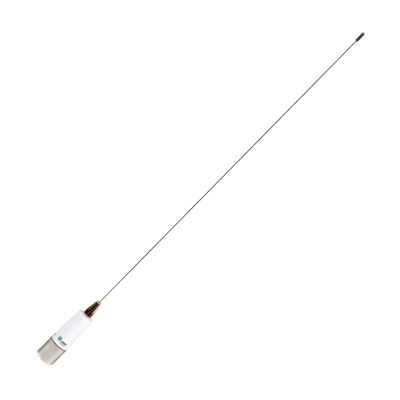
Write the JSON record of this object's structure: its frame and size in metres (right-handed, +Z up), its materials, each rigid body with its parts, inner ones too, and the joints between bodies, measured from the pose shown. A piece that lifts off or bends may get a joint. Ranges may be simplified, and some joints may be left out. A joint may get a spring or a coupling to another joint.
{
  "type": "omnidirectional antenna",
  "caption": "Boat VHF whip antenna: screw-on steel base with a coaxial socket, tapered white coil housing, polished ferrule and a long thin whip with a tip cap.",
  "frame": {"origin": "centre of the base's flat bottom face, at the mouth of the mast thread", "axes": "+Z up along the whip; +Y points to the side where the clamp screws face out of the ferrule, and -Y to the printed side"},
  "size_m": [0.04, 0.04, 0.9],
  "materials": {
    "brushed_stainless": "satin, brushed round the axis",
    "polished_steel": "polished",
    "housing_plastic": "smooth gloss white",
    "screw_steel": "plain machined",
    "nickel_plate": "nickel-plated, bright",
    "socket_plastic": "waxy white",
    "contact_brass": "gold-coloured plate",
    "tinned_brass": "tinned",
    "turned_brass": "turned",
    "coil_copper": "enamelled copper wire",
    "former_nylon": "natural nylon",
    "black_rubber": "matte",
    "black_oxide": "black oxide",
    "whip_steel": "drawn and polished lengthwise",
    "cap_vinyl": "soft satin black"
  },
  "bodies": {
    "base": {"base_cup": "brushed_stainless", "trim_ring": "polished_steel", "neck_seal": "black_rubber", "coil_housing": "housing_plastic", "housing_screws": "screw_steel", "socket_shell": "nickel_plate", "socket_insulator": "socket_plastic", "centre_contact": "contact_brass", "socket_gasket": "black_rubber", "ground_tag": "tinned_brass", "lock_washer": "screw_steel", "socket_nut": "nickel_plate", "coil_former": "former_nylon", "matching_coil": "coil_copper", "tap_lead": "coil_copper", "whip_stud": "turned_brass", "stud_washer": "screw_steel", "stud_tag": "tinned_brass", "stud_nut": "turned_brass"},
    "seal_carrier": {"ferrule_seal": "black_rubber"},
    "ferrule": {"whip_ferrule": "polished_steel"},
    "clamps": {"clamp_screws": "black_oxide"},
    "whip": {"whip_rod": "whip_steel", "tip_cap": "cap_vinyl"}
  },
  "joints": [
    {"name": "ferrule_lift", "type": "slide", "parent": "base", "child": "seal_carrier", "axis": [0, 0, 1], "range_m": [0, 0.01]},
    {"name": "ferrule_turn", "type": "hinge", "parent": "seal_carrier", "child": "ferrule", "pos_m": [0, 0, 0.121], "axis": [0, 0, 1], "range_deg": [0, 2882]},
    {"name": "clamp_screws_back_off", "type": "slide", "parent": "ferrule", "child": "clamps", "axis": [0, 1, 0], "range_m": [0, 0.0021]},
    {"name": "whip_pull", "type": "slide", "parent": "ferrule", "child": "whip", "axis": [0, 0, 1], "range_m": [0, 0.02]}
  ],
  "couplings": [
    {"joint": "ferrule_turn", "follows": "ferrule_lift", "rad_per_m": 5026.5}
  ]
}
